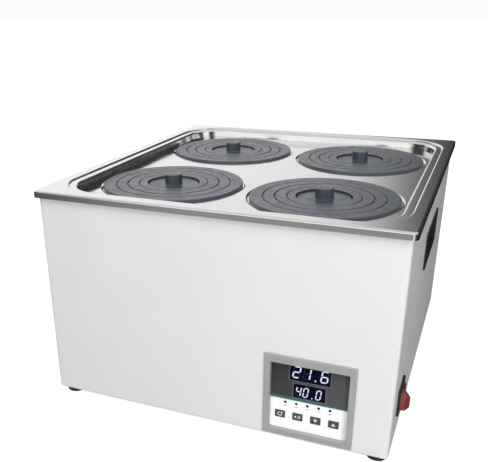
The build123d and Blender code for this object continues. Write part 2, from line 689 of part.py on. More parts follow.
def centre_lid(centre):
    """Rebated disc with its knob, sunk below the rings round it."""
    upper, _, lower, _ = joint_line(0)
    with BuildPart() as lid:
        add(turned(centre, [
            (0, LEDGE_BOTTOM), (lower, LEDGE_BOTTOM), (lower, LEDGE_TOP), (upper, LEDGE_TOP),
            (upper, CENTRE_TOP), (KNOB_R, CENTRE_TOP), (KNOB_R, KNOB_TOP), (0, KNOB_TOP),
        ]))
        fillet(lid.edges().filter_by(GeomType.CIRCLE).group_by(Axis.Z)[-1], radius=0.9)
        rims = lid.edges().filter_by(GeomType.CIRCLE).filter_by_position(
            Axis.Z, CENTRE_TOP - 0.01, CENTRE_TOP + 0.01
        )
        fillet(rims.sort_by(SortBy.LENGTH)[-1], radius=0.4)
        fillet(rims.sort_by(SortBy.LENGTH)[0], radius=0.6)
    return lid.part


def inner_ring(centre):
    """Smallest ring: carries the sunk centre lid on a ledge hung inside it."""
    _, up_in, _, low_in = joint_line(0)
    up_out, _, low_out, _ = joint_line(1)
    wall = up_in + LEDGE_W
    with BuildPart() as ring:
        add(turned(centre, [
            (low_in, LEDGE_BOTTOM), (wall, LEDGE_BOTTOM), (wall, RECESS_TOP), (low_out, RECESS_TOP),
            (low_out, RING_MID), (up_out, RING_MID), (up_out, LID_TOP), (up_in, LID_TOP),
            (up_in, LEDGE_TOP), (low_in, LEDGE_TOP),
        ]))
        fillet(ring.edges().filter_by(GeomType.CIRCLE).group_by(Axis.Z)[-1], radius=0.4)
    return ring.part


def middle_ring(centre, k):
    """Ring between joint lines k and k + 1: steps up inside and overhangs outside."""
    _, up_in, _, low_in = joint_line(k)
    up_out, _, low_out, _ = joint_line(k + 1)
    with BuildPart() as ring:
        add(turned(centre, [
            (low_in, RECESS_TOP), (low_out, RECESS_TOP), (low_out, RING_MID), (up_out, RING_MID),
            (up_out, LID_TOP), (up_in, LID_TOP), (up_in, RING_MID), (low_in, RING_MID),
        ]))
        fillet(ring.edges().filter_by(GeomType.CIRCLE).group_by(Axis.Z)[-1], radius=0.4)
    return ring.part


def outer_ring(centre):
    """Largest ring: full thickness at its rim, with a collar that centres it in the hole."""
    _, up_in, _, low_in = joint_line(3)
    rim = JOINT_RADII[4]
    foot = RECESS_TOP - COLLAR_DROP
    with BuildPart() as ring:
        add(turned(centre, [
            (low_in, RECESS_TOP), (COLLAR_IN_R, RECESS_TOP), (COLLAR_IN_R, foot),
            (COLLAR_OUT_R, foot), (COLLAR_OUT_R, RECESS_TOP), (rim, RECESS_TOP), (rim, LID_TOP),
            (up_in, LID_TOP), (up_in, RING_MID), (low_in, RING_MID),
        ]))
        top = ring.edges().filter_by(GeomType.CIRCLE).group_by(Axis.Z)[-1].sort_by(SortBy.LENGTH)
        fillet(top[0], radius=0.4)
        fillet(top[-1], radius=0.9)
    return ring.part


for place, centre in OPENINGS.items():
    nest = {f"{place}_ring_1": outer_ring(centre)}
    nest[f"{place}_ring_2"] = middle_ring(centre, 2)
    nest[f"{place}_ring_3"] = middle_ring(centre, 1)
    nest[f"{place}_ring_4"] = inner_ring(centre)
    nest[f"{place}_centre_lid"] = centre_lid(centre)
    for name, piece in nest.items():
        piece.label = name
        export_step(piece, f"parts/{name}.step")

# ================================================================ control panel
with BuildPart() as panel_bezel:
    with BuildSketch(front_plane(FRONT)):
        with Locations((PANEL_X, BEZEL_Z)):
            RectangleRounded(PANEL_SIZE, PANEL_SIZE, 1.2)
    extrude(amount=PANEL_PROUD)
    fillet(panel_bezel.edges().group_by(Axis.Y)[0], radius=0.7)
    with BuildSketch(front_plane(FRONT)):
        with Locations((PANEL_X, WINDOW_Z)):
            RectangleRounded(COLLAR_W, COLLAR_H, 1.2)
    extrude(amount=-(FASCIA_FRONT - FRONT))
    with BuildSketch(front_plane(FRONT - PANEL_PROUD)):
        with Locations((PANEL_X, WINDOW_Z)):
            RectangleRounded(WINDOW_W, WINDOW_H, 0.6)
    extrude(amount=-2 * PANEL_RECESS, mode=Mode.SUBTRACT)
panel_bezel.part.label = "panel_bezel"
export_step(panel_bezel.part, "parts/panel_bezel.step")

FASCIA_W = WINDOW_W + 2 * FASCIA_MARGIN
FASCIA_TOP = WINDOW_BOTTOM + WINDOW_H + FASCIA_MARGIN
FASCIA_BOTTOM = WINDOW_BOTTOM - FASCIA_MARGIN
UPPER_DISPLAY_Z = CASE_BOTTOM + UPPER_DISPLAY_ABOVE_CASE
LOWER_DISPLAY_Z = CASE_BOTTOM + LOWER_DISPLAY_ABOVE_CASE
LED_Z = CASE_BOTTOM + LED_ABOVE_CASE
KEY_Z = CASE_BOTTOM + KEY_ABOVE_CASE
FIT_GAP = 0.15

with BuildPart() as display_fascia:
    with BuildSketch(front_plane(FASCIA_FRONT)):
        with Locations((PANEL_X, (FASCIA_TOP + DIVIDER_Z) / 2)):
            Rectangle(FASCIA_W, FASCIA_TOP - DIVIDER_Z)
        with Locations((DISPLAY_X, UPPER_DISPLAY_Z)):
            Rectangle(UPPER_DISPLAY[0] + 2 * FIT_GAP, UPPER_DISPLAY[1] + 2 * FIT_GAP,
                      mode=Mode.SUBTRACT)
        with Locations((DISPLAY_X, LOWER_DISPLAY_Z)):
            Rectangle(LOWER_DISPLAY[0] + 2 * FIT_GAP, LOWER_DISPLAY[1] + 2 * FIT_GAP,
                      mode=Mode.SUBTRACT)
    extrude(amount=-FASCIA_T)
display_fascia.part.label = "display_fascia"
export_step(display_fascia.part, "parts/display_fascia.step")

with BuildPart() as key_panel:
    with BuildSketch(front_plane(FASCIA_FRONT)):
        with Locations((PANEL_X, (FASCIA_BOTTOM + DIVIDER_Z) / 2)):
            Rectangle(FASCIA_W, DIVIDER_Z - FASCIA_BOTTOM)
        with Locations((KEY_X, KEY_Z)):
            with GridLocations(KEY_PITCH, 1, 4, 1):
                RectangleRounded(KEY_W + 2 * FIT_GAP, KEY_H + 2 * FIT_GAP, 0.8, mode=Mode.SUBTRACT)
        with Locations((LED_X, LED_Z)):
            with GridLocations(LED_PITCH, 1, 5, 1):
                Circle(LED_R + 0.1, mode=Mode.SUBTRACT)
    extrude(amount=-FASCIA_T)
key_panel.part.label = "key_panel"
export_step(key_panel.part, "parts/key_panel.step")


def display_module(size, z):
    """Seven-segment module: its face fills the fascia's opening, its back sits on the board."""
    with BuildPart() as module:
        with BuildSketch(front_plane(FASCIA_FRONT + 0.2)):
            with Locations((DISPLAY_X, z)):
                Rectangle(*size)
        extrude(amount=-(BOARD_FRONT - FASCIA_FRONT - 0.2))
    return module.part


for name, size, z in (
    ("upper_display", UPPER_DISPLAY, UPPER_DISPLAY_Z),
    ("lower_display", LOWER_DISPLAY, LOWER_DISPLAY_Z),
):
    display = display_module(size, z)
    display.label = name
    export_step(display, f"parts/{name}.step")

with BuildPart() as indicator_leds:
    with BuildSketch(front_plane(FASCIA_FRONT + 0.1)):
        with Locations((LED_X, LED_Z)):
            with GridLocations(LED_PITCH, 1, 5, 1):
                Circle(LED_R)
    extrude(amount=-(BOARD_FRONT - FASCIA_FRONT - 0.1))
indicator_leds.part.label = "indicator_leds"
export_step(indicator_leds.part, "parts/indicator_leds.step")

KEY_BACK = FASCIA_FRONT + FASCIA_T + KEY_TRAVEL + 0.9
PLUNGER_FRONT = KEY_BACK + KEY_TRAVEL + 0.15
for number, name in enumerate(("set_key", "shift_key", "down_key", "up_key")):
    key_x = KEY_X + KEY_PITCH * (number - 1.5)
    with BuildPart() as key:
        with BuildSketch(front_plane(FASCIA_FRONT - KEY_PROUD)):
            with Locations((key_x, KEY_Z)):
                RectangleRounded(KEY_W, KEY_H, 0.7)
        extrude(amount=-(KEY_PROUD + FASCIA_T))
        fillet(key.edges().group_by(Axis.Y)[0], radius=0.3)
        # flange behind the panel that keeps the key in
        with BuildSketch(front_plane(FASCIA_FRONT + FASCIA_T + 0.02)):
            with Locations((key_x, KEY_Z)):
                Rectangle(KEY_W + 2.4, KEY_H + 2.4)
        extrude(amount=-0.88)
        with BuildSketch(front_plane(FASCIA_FRONT)):
            with Locations((key_x, KEY_Z)):
                Circle(1.6)
        extrude(amount=-(KEY_BACK - FASCIA_FRONT))
    key.part.label = name
    export_step(key.part, f"parts/{name}.step")

with BuildPart() as key_switches:
    with BuildSketch(front_plane(BOARD_FRONT)):
        with Locations((KEY_X, KEY_Z)):
            with GridLocations(KEY_PITCH, 1, 4, 1):
                RectangleRounded(6, 6, 0.5)
    extrude(amount=3.5)
    with BuildSketch(front_plane(BOARD_FRONT)):
        with Locations((KEY_X, KEY_Z)):
            with GridLocations(KEY_PITCH, 1, 4, 1):
                Circle(1.7)
    extrude(amount=BOARD_FRONT - PLUNGER_FRONT)
key_switches.part.label = "key_switches"
export_step(key_switches.part, "parts/key_switches.step")

BOARD_HOLES = (62.0, 62.0)
with BuildPart() as display_board:
    with BuildSketch(front_plane(BOARD_FRONT)):
        with Locations((PANEL_X, WINDOW_Z)):
            RectangleRounded(70, 70, 2)
            with GridLocations(*BOARD_HOLES, 2, 2):
                Circle(1.6, mode=Mode.SUBTRACT)
    extrude(amount=-BOARD_T)
    with BuildSketch(front_plane(BOARD_FRONT + BOARD_T)):
        with Locations((PANEL_X, WINDOW_Z + 8)):
            Rectangle(12, 12)
        with Locations((PANEL_X - 18, WINDOW_Z - 18)):
            Rectangle(20, 6)
    extrude(amount=-3)
display_board.part.label = "display_board"
export_step(display_board.part, "parts/display_board.step")

# ================================================================ power board and transformer
POWER_X = -40.0
POWER_Y = -70.0
POWER_HOLES = (106.0, 66.0)
POWER_BOARD_Z = CASE_BOTTOM + 9
with BuildPart() as power_board:
    with BuildSketch(Plane.XY.offset(POWER_BOARD_Z)):
        with Locations((POWER_X, POWER_Y)):
            RectangleRounded(116, 76, 2)
            with GridLocations(*POWER_HOLES, 2, 2):
                Circle(1.6, mode=Mode.SUBTRACT)
    extrude(amount=BOARD_T)
    with BuildSketch(Plane.XY.offset(POWER_BOARD_Z + BOARD_T)):
        with Locations((POWER_X - 30, POWER_Y + 12)):
            Rectangle(28, 12)  # relay
        with Locations((POWER_X + 5, POWER_Y - 26)):
            Rectangle(50, 10)  # terminal block
    extrude(amount=14)
    with BuildSketch(Plane.XY.offset(POWER_BOARD_Z + BOARD_T)):
        with Locations((POWER_X + 20, POWER_Y + 20), (POWER_X + 34, POWER_Y + 20)):
            Circle(5)  # smoothing capacitors
    extrude(amount=18)
    with BuildSketch(Plane.XY.offset(POWER_BOARD_Z + BOARD_T)):
        with Locations((POWER_X - 2, POWER_Y + 6)):
            with GridLocations(1, 5, 1, 5):
                Rectangle(22, 1.6)  # triac's finned heat sink
            Rectangle(1.6, 21.6)
    extrude(amount=24)
power_board.part.label = "power_board"
export_step(power_board.part, "parts/power_board.step")

with BuildPart() as board_spacers:
    with BuildSketch(Plane.XY.offset(CASE_BOTTOM)):
        with Locations((POWER_X, POWER_Y)):
            with GridLocations(*POWER_HOLES, 2, 2):
                RegularPolygon(radius=3.2, side_count=6)
    extrude(amount=POWER_BOARD_Z - CASE_BOTTOM)
    with BuildSketch(front_plane(FASCIA_FRONT + FASCIA_T)):
        with Locations((PANEL_X, WINDOW_Z)):
            with GridLocations(*BOARD_HOLES, 2, 2):
                RegularPolygon(radius=3.0, side_count=6)
    extrude(amount=-(BOARD_FRONT - FASCIA_FRONT - FASCIA_T))
board_spacers.part.label = "board_spacers"
export_step(board_spacers.part, "parts/board_spacers.step")

TRANSFORMER_PLACE = (-105.0, 60.0)
with BuildPart() as transformer:
    with Locations((*TRANSFORMER_PLACE, CASE_BOTTOM)):
        Box(44, 24, 38, align=ON_BASE)
    with Locations((*TRANSFORMER_PLACE, CASE_BOTTOM + 6)):
        Box(32, 40, 26, align=ON_BASE)
    fillet(transformer.edges().filter_by(Axis.Z).group_by(Axis.Y)[0], radius=3)
    fillet(transformer.edges().filter_by(Axis.Z).group_by(Axis.Y)[-1], radius=3)
transformer.part.label = "transformer"
export_step(transformer.part, "parts/transformer.step")

# ================================================================ rocker switch
PIVOT_X = SIDE - 2.5
PIVOT_R = 1.5
ROCKER_H = 17.0
ROCKER_HALF = 10.6
ROCKER_END = 10.95  # pivot to the ends of the part that swings inside the frame
ROCKER_END_R = 12.3
ROCKER_MID = 7.0  # pivot to the middle of the rocker's face
ROCKER_EDGE = 9.4  # pivot to the ends of the rocker's face, so the face is a shallow V
ROCKER_BEVEL = 3.4
SWITCH_BODY_DEPTH = 22.0
SWITCH_PROUD = 2.0

with BuildPart() as rocker_frame:
    with BuildSketch(side_plane(SIDE, 1)):
        with Locations((SWITCH_Y, SWITCH_Z)):
            RectangleRounded(SWITCH_L, SWITCH_H, 1.6)
    extrude(amount=SWITCH_PROUD)
    fillet(rocker_frame.edges().group_by(Axis.X)[-1], radius=0.8)
    with BuildSketch(side_plane(SIDE, 1)):
        with Locations((SWITCH_Y, SWITCH_Z)):
            RectangleRounded(SWITCH_L - 2 * SWITCH_FLANGE, SWITCH_H - 2 * SWITCH_FLANGE, 0.8)
    extrude(amount=-SWITCH_BODY_DEPTH)
    with BuildSketch(side_plane(SIDE + SWITCH_PROUD, 1)):
        with Locations((SWITCH_Y, SWITCH_Z)):
            Rectangle(2 * ROCKER_END_R + 0.6, ROCKER_H + 0.6)
    extrude(amount=-(SWITCH_PROUD + 12), mode=Mode.SUBTRACT)
    # bearing hole for the rocker's pivot pins
    with BuildSketch(Plane.XY.offset(SWITCH_Z)):
        with Locations((PIVOT_X, SWITCH_Y)):
            Circle(PIVOT_R + 0.06)
    extrude(amount=ROCKER_H / 2 + 2, both=True, mode=Mode.SUBTRACT)
    # four terminal blades behind
    with BuildSketch(side_plane(SIDE - SWITCH_BODY_DEPTH, 1)):
        with Locations((SWITCH_Y, SWITCH_Z)):
            with GridLocations(12, 9, 2, 2):
                Rectangle(0.8, 4.8)
    extrude(amount=-9)
rocker_frame.part.label = "rocker_frame"
export_step(rocker_frame.part, "parts/rocker_frame.step")

# The rocker rests with its front end out; local x points out of the case and local y backwards
tilt = math.radians(ROCKER_TILT)
rocker_plane = Plane(
    origin=(PIVOT_X, SWITCH_Y, SWITCH_Z),
    x_dir=(math.cos(tilt), math.sin(tilt), 0),
    z_dir=(0, 0, 1),
)
shoulder = math.sqrt(ROCKER_END_R**2 - ROCKER_END**2)
with BuildPart() as power_rocker:
    with BuildSketch(rocker_plane):
        with BuildLine():
            Polyline(
                (shoulder, ROCKER_END),
                (ROCKER_EDGE, ROCKER_HALF),
                (ROCKER_MID, 0),
                (ROCKER_EDGE, -ROCKER_HALF),
                (shoulder, -ROCKER_END),
                (-3, -ROCKER_END),
                (-6, 0),
                (-3, ROCKER_END),
                close=True,
            )
        make_face()
    extrude(amount=ROCKER_H / 2, both=True)
    # the face's long edges are bevelled above and below
    faces = power_rocker.faces().filter_by(
        lambda face: face.normal_at().dot(rocker_plane.x_dir) > 0.9
    )
    long_edges = faces.edges().filter_by(Axis.Z, reverse=True)
    chamfer(long_edges, length=ROCKER_BEVEL)
    with BuildSketch(rocker_plane):
        Circle(PIVOT_R)
    extrude(amount=ROCKER_H / 2 + 1.6, both=True)
power_rocker.part.label = "power_rocker"
export_step(power_rocker.part, "parts/power_rocker.step")

# ================================================================ mains inlet with its fuse drawer
INLET_FACE = BACK + SHEET
SOCKET_Z = INLET_Z - 3.5
DRAWER_Z = INLET_Z + 9.0
INLET_FLANGE_T = 1.8
INLET_DEPTH = 26.0
WELL_DEPTH = 16.0
WELL_CUT = 4.0
PIN_PITCH = 7.0
PIN_OFFSET = 2.0  # the earth pin sits above the other two
with BuildPart() as inlet_socket:
    with BuildSketch(front_plane(INLET_FACE)):
        with Locations((INLET_X, INLET_Z)):
            RectangleRounded(33, 31, 2)
    extrude(amount=-INLET_FLANGE_T)
    with BuildSketch(front_plane(INLET_FACE)):
        with Locations((INLET_X, INLET_Z)):
            RectangleRounded(*INLET_BODY, 1.5)
    extrude(amount=INLET_DEPTH)
    # socket well, cut off at its two lower corners
    with BuildSketch(front_plane(INLET_FACE + INLET_FLANGE_T)) as well:
        with Locations((INLET_X, SOCKET_Z)):
            Rectangle(24.6, 15.6)
        chamfer(well.vertices().group_by(Axis.Y)[0], length=WELL_CUT)
    extrude(amount=INLET_FLANGE_T + WELL_DEPTH, mode=Mode.SUBTRACT)
    # fuse drawer's slot
    with BuildSketch(front_plane(INLET_FACE + INLET_FLANGE_T)):
        with Locations((INLET_X, DRAWER_Z)):
            Rectangle(20.6, 6.2)
    extrude(amount=22, mode=Mode.SUBTRACT)
inlet_socket.part.label = "inlet_socket"
export_step(inlet_socket.part, "parts/inlet_socket.step")

with BuildPart() as inlet_pins:
    with BuildSketch(front_plane(INLET_FACE - 3)):
        with Locations(
            (INLET_X - PIN_PITCH, SOCKET_Z - PIN_OFFSET),
            (INLET_X, SOCKET_Z + PIN_OFFSET),
            (INLET_X + PIN_PITCH, SOCKET_Z - PIN_OFFSET),
        ):
            Rectangle(2, 4)
    extrude(amount=13)
inlet_pins.part.label = "inlet_pins"
export_step(inlet_pins.part, "parts/inlet_pins.step")

with BuildPart() as fuse_drawer:
    with BuildSketch(front_plane(INLET_FACE + 2.4)):
        with Locations((INLET_X, DRAWER_Z)):
            RectangleRounded(20.4, 6.0, 0.8)
    extrude(amount=2.0)
    with BuildSketch(front_plane(INLET_FACE + 1)):
        with Locations((INLET_X, DRAWER_Z)):
            Rectangle(19.6, 5.4)
    extrude(amount=20)
    # channel for the fuse cartridge
    with BuildSketch(front_plane(INLET_FACE - 1)):
        with Locations((INLET_X, DRAWER_Z + 1.5)):
            Rectangle(14, 4)
    extrude(amount=16, mode=Mode.SUBTRACT)
fuse_drawer.part.label = "fuse_drawer"
export_step(fuse_drawer.part, "parts/fuse_drawer.step")

# ================================================================ wiring
WIRE_R = 1.6
WIRES = (
    # mains lead: inlet to rocker switch
    ((INLET_X + 7, INLET_FACE - 32, SOCKET_Z - 2), (INLET_X + 7, INLET_FACE - 60, SOCKET_Z - 2),
     (125, INLET_FACE - 60, SOCKET_Z - 2), (125, SWITCH_Y + 6, SOCKET_Z - 2)),
    # switch to power board
    ((120, SWITCH_Y - 6, SWITCH_Z), (60, SWITCH_Y - 6, SWITCH_Z), (60, POWER_Y - 26, SWITCH_Z),
     (POWER_X + 32, POWER_Y - 26, SWITCH_Z)),
    # heater leads
    ((-HEATER_X, HEATER_Y, HEATER_END_Z - 4), (-HEATER_X, HEATER_Y, 40),
     (-HEATER_X, POWER_Y + 60, 40)),
    ((HEATER_X, HEATER_Y, HEATER_END_Z - 4), (HEATER_X, HEATER_Y, 46),
     (HEATER_X, POWER_Y + 60, 46)),
)
with BuildPart() as wiring_loom:
    for route in WIRES:
        start, onward = Vector(*route[0]), Vector(*route[1])
        with BuildLine():
            FilletPolyline(*route, radius=6)
        with BuildSketch(Plane(origin=start, z_dir=onward - start)):
            Circle(WIRE_R)
        sweep()
wiring_loom.part.label = "wiring_loom"
export_step(wiring_loom.part, "parts/wiring_loom.step")
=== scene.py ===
"""Looks of the bench-top water bath: finishes for every CAD node, the lit digits, the printed marks
on the control panel and the studio round it.

Metres, +Z up, in the frame of the CAD model. Sizes below are in millimetres unless they say
otherwise, and every place is worked out from the CAD nodes' own boxes.
"""

import json
import math

import bmesh
import bpy
from mathutils import Matrix, Vector


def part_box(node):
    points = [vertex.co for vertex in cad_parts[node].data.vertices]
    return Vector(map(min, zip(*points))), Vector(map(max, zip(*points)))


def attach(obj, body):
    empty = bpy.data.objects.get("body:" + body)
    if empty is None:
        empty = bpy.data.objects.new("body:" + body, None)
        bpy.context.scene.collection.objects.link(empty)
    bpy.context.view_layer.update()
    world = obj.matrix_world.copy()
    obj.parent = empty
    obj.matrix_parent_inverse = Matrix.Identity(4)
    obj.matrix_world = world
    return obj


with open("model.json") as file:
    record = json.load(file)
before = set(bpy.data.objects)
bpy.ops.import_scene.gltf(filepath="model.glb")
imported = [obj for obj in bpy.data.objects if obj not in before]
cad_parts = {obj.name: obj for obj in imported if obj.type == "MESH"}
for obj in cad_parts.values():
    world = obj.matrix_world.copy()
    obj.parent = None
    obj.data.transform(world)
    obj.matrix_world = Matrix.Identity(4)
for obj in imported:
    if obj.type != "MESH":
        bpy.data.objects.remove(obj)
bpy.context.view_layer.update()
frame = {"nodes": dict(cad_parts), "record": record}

MM = 0.001


# ================================================================ nodes
def rgba(colour):
    return (*colour, 1.0)


def put(tree, kind, inputs=None, **settings):
    """Adds a shader node. inputs maps sockets to values, or to other nodes' outputs."""
    node = tree.nodes.new("ShaderNode" + kind)
    for name, value in settings.items():
        setattr(node, name, value)
    for socket, value in (inputs or {}).items():
        if isinstance(value, bpy.types.NodeSocket):
            tree.links.new(value, node.inputs[socket])
        else:
            node.inputs[socket].default_value = value
    return node


def number(tree, operation, a, b=0.0, clamp=False):
    """One step of arithmetic."""
    return put(tree, "Math", {0: a, 1: b}, operation=operation, use_clamp=clamp).outputs[0]


def between(tree, value, low, high, to_low=0.0, to_high=1.0):
    """value's place between low and high, smoothly, as a number from to_low to to_high."""
    inputs = {"Value": value, 1: low, 2: high, 3: to_low, 4: to_high}
    return put(tree, "MapRange", inputs, interpolation_type="SMOOTHSTEP").outputs[0]


def mix(tree, factor, a, b):
    """Colour a where factor is 0, b where it is 1."""
    node = put(tree, "Mix", data_type="RGBA")
    for socket, value in ((node.inputs[0], factor), (node.inputs[6], a), (node.inputs[7], b)):
        if isinstance(value, bpy.types.NodeSocket):
            tree.links.new(value, socket)
        else:
            socket.default_value = value
    return node.outputs[2]


class Finish:
    """A procedural material on a Principled shader, built up layer by layer."""

    def __init__(self, name, colour, roughness, metallic=0.0):
        self.material = bpy.data.materials.new(name)
        self.material.use_nodes = True
        self.tree = self.material.node_tree
        self.tree.nodes.clear()
        self.shader = put(self.tree, "BsdfPrincipled", {"Metallic": metallic})
        put(self.tree, "OutputMaterial", {"Surface": self.shader.outputs[0]})
        self.where = put(self.tree, "TexCoord").outputs["Object"]
        flat = put(self.tree, "RGB")
        flat.outputs[0].default_value = rgba(colour)
        self.colour = flat.outputs[0]
        self.roughness = put(self.tree, "Value").outputs[0]
        self.roughness.default_value = roughness
        self.normal = None

    def noise(self, size, detail=2.0, stretch=(1, 1, 1)):
        """Cloudy noise with features of the given size, drawn out along an axis by stretch."""
        scale = [1 / (size * MM * s) for s in stretch]
        vector = put(self.tree, "VectorMath", {0: self.where, 1: scale}, operation="MULTIPLY")
        inputs = {"Vector": vector.outputs[0], "Scale": 1.0, "Detail": detail}
        return put(self.tree, "TexNoise", inputs).outputs[0]

    def tint(self, factor, colour):
        """Turns the colour towards another one where factor is 1."""
        self.colour = mix(self.tree, factor, self.colour, rgba(colour))
        return self

    def mottle(self, amount, size, stretch=(1, 1, 1)):
        """Lightens and darkens the colour in patches."""
        patches = between(self.tree, self.noise(size, 3.0, stretch), 0.3, 0.7, 1 - amount, 1 + amount)
        scaled = put(self.tree, "VectorMath", {0: self.colour, "Scale": patches}, operation="SCALE")
        self.colour = scaled.outputs[0]
        return self

    def uneven(self, amount, size, stretch=(1, 1, 1)):
        """Varies the roughness in patches."""
        patches = between(self.tree, self.noise(size, 3.0, stretch), 0.3, 0.7, -amount, amount)
        self.roughness = number(self.tree, "ADD", self.roughness, patches, clamp=True)
        return self

    def bump(self, height, depth):
        """Raises the surface by depth where height is 1."""
        inputs = {"Height": height, "Distance": depth * MM, "Strength": 1.0}
        if self.normal is not None:
            inputs["Normal"] = self.normal
        self.normal = put(self.tree, "Bump", inputs).outputs[0]
        return self

    def grain(self, size, depth, stretch=(1, 1, 1), detail=2.0):
        """Fine relief of a rolled, moulded or sprayed surface."""
        return self.bump(self.noise(size, detail, stretch), depth)

    def worn(self, radius, amount, colour):
        """Rubs the colour towards another along edges sharper than radius, in broken patches."""
        rounded = put(self.tree, "Bevel", {"Radius": radius * MM}, samples=4).outputs[0]
        straight = put(self.tree, "NewGeometry").outputs["Normal"]
        same = put(self.tree, "VectorMath", {0: rounded, 1: straight}, operation="DOT_PRODUCT")
        edge = between(self.tree, same.outputs["Value"], 0.86, 0.995, amount, 0.0)
        broken = between(self.tree, self.noise(4.0, 4.0), 0.35, 0.65)
        return self.tint(number(self.tree, "MULTIPLY", edge, broken), colour)

    def set(self, **inputs):
        """Sets plain Principled inputs; an underscore in a name stands for a space."""
        for name, value in inputs.items():
            self.shader.inputs[name.replace("_", " ")].default_value = value
        return self

    def glow(self, colour, strength):
        self.shader.inputs["Emission Color"].default_value = rgba(colour)
        self.shader.inputs["Emission Strength"].default_value = strength
        return self

    def done(self):
        """Joins the layers to the shader."""
        self.tree.links.new(self.colour, self.shader.inputs["Base Color"])
        self.tree.links.new(self.roughness, self.shader.inputs["Roughness"])
        if self.normal is not None:
            self.tree.links.new(self.normal, self.shader.inputs["Normal"])
        return self.material


# ================================================================ finishes
SLATE = (0.046, 0.056, 0.074)
SLATE_RUBBED = (0.13, 0.15, 0.19)
BLACK = (0.016, 0.016, 0.017)
STEEL = (0.70, 0.69, 0.685)
ALONG_X = (60, 1, 1)
ALONG_Y = (1, 60, 1)
ALONG_Z = (1, 1, 60)


def powder_coat():
    """White satin powder coat: orange peel, and a trace of grey where edges are handled."""
    finish = Finish("powder_coat", (0.80, 0.80, 0.80), 0.42)
    finish.mottle(0.012, 70).uneven(0.05, 25)
    finish.worn(1.0, 0.25, (0.62, 0.62, 0.61))
    return finish.grain(1.3, 0.006).grain(9, 0.02).done()


def stainless(name, colour, roughness, direction):
    """Rolled stainless sheet: fine streaks along the rolling direction."""
    finish = Finish(name, colour, roughness, metallic=1.0)
    finish.mottle(0.03, 1.2, direction).uneven(0.05, 1.6, direction).uneven(0.03, 45)
    return finish.grain(0.9, 0.0012, direction, detail=4.0).done()


def galvanised():
    """Zinc-coated sheet, with its spangle of crystals in slightly different greys."""
    finish = Finish("galvanised", (0.52, 0.53, 0.54), 0.38, metallic=1.0)
    crystals = put(finish.tree, "TexVoronoi", {"Vector": finish.where, "Scale": 1 / (7 * MM)})
    shade = put(finish.tree, "SeparateColor", {"Color": crystals.outputs["Color"]}).outputs[0]
    finish.tint(between(finish.tree, shade, 0.0, 1.0, 0.0, 0.6), (0.36, 0.37, 0.39))
    return finish.uneven(0.08, 12).grain(1.5, 0.004).done()


def moulded(name, colour, roughness, grain=0.7, depth=0.008, rub=0.15):
    """Moulded plastic with a fine spark-eroded grain, rubbed a little lighter along its edges."""
    finish = Finish(name, colour, roughness)
    finish.mottle(0.05, 18).uneven(0.06, 8)
    finish.worn(0.5, rub, [min(1.0, c * 1.8 + 0.03) for c in colour])
    return finish.grain(grain, depth).done()


def slate_plastic():
    """Blue-grey moulded lids with a fine grain and a dull shine."""
    finish = Finish("slate_plastic", SLATE, 0.38)
    finish.mottle(0.05, 18).uneven(0.06, 8).set(Specular_IOR_Level=1.0)
    finish.worn(0.5, 0.2, SLATE_RUBBED)
    return finish.grain(0.9, 0.004).done()


def rocker_red():
    """Clear red plastic of a lit rocker, greyer towards its top, with a polished skin."""
    finish = Finish("rocker_red", (0.19, 0.003, 0.006), 0.16)
    low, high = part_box("power_rocker")
    height = put(finish.tree, "SeparateXYZ", {0: finish.where}).outputs[2]
    upwards = between(finish.tree, height, low.z, high.z, 0.0, 0.7)
    finish.tint(upwards, (0.22, 0.05, 0.045))
    finish.mottle(0.12, 6).uneven(0.04, 4)
    finish.set(Coat_Weight=0.5, Coat_Roughness=0.05, Specular_IOR_Level=0.5)
    return finish.grain(5, 0.01).done()


def display_face():
    """Navy-black face of a seven-segment module behind smoked film, with a faint navy glow painted on
    it.
    """
    finish = Finish("display_face", (0.0012, 0.0012, 0.012), 0.22)
    # painted light: the dark face between the segments glows faintly navy, though it is no lamp
    finish.mottle(0.25, 5).uneven(0.04, 6).glow((0.01, 0.01, 0.24), 0.02)
    finish.set(Specular_IOR_Level=0.1)
    return finish.grain(0.4, 0.001).done()


def fascia_film():
    """Smoked film over the displays, which pales towards the right and downwards."""
    finish = Finish("fascia_dark", (0.026, 0.026, 0.028), 0.3)
    low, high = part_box("display_fascia")
    axes = put(finish.tree, "SeparateXYZ", {0: finish.where}).outputs
    rightwards = between(finish.tree, axes[0], low.x, high.x, 0.0, 0.8)
    downwards = between(finish.tree, axes[2], high.z, low.z, 0.0, 0.35)
    finish.tint(number(finish.tree, "ADD", rightwards, downwards, clamp=True), (0.082, 0.080, 0.080))
    finish.mottle(0.04, 20).uneven(0.04, 12)
    return finish.grain(14, 0.02).grain(0.5, 0.0008).done()


def key_film():
    """White film over the keys, with a slow ripple; a faint white glow is painted light that makes it
    brighter.
    """
    finish = Finish("key_panel_white", (0.93, 0.94, 0.95), 0.4).mottle(0.015, 30).uneven(0.04, 12)
    # painted light: the film glows faintly white, though it is no lamp, so that it looks brighter
    finish.glow((1.0, 1.0, 1.0), 0.09)
    return finish.grain(14, 0.02).grain(0.5, 0.0008).done()


def rubber(name, colour):
    finish = Finish(name, colour, 0.78)
    return finish.mottle(0.15, 5).uneven(0.08, 3).grain(0.35, 0.02).done()


def machined(name, colour, roughness, direction=ALONG_Z):
    """Turned or drawn metal, with fine tool marks."""
    finish = Finish(name, colour, roughness, metallic=1.0)
    finish.mottle(0.08, 0.6, direction).uneven(0.07, 3)
    return finish.grain(0.35, 0.003, direction).done()


def heater_sheath():
    """Steel sheath with the straw and blue tint of a heater that has run dry once or twice."""
    finish = Finish("heater_sheath", (0.34, 0.33, 0.32), 0.34, metallic=1.0)
    finish.tint(between(finish.tree, finish.noise(35, 3), 0.45, 0.7, 0, 0.5), (0.40, 0.27, 0.13))
    finish.tint(between(finish.tree, finish.noise(28, 2), 0.55, 0.75, 0, 0.4), (0.14, 0.17, 0.27))
    return finish.uneven(0.1, 4).grain(0.6, 0.006).done()


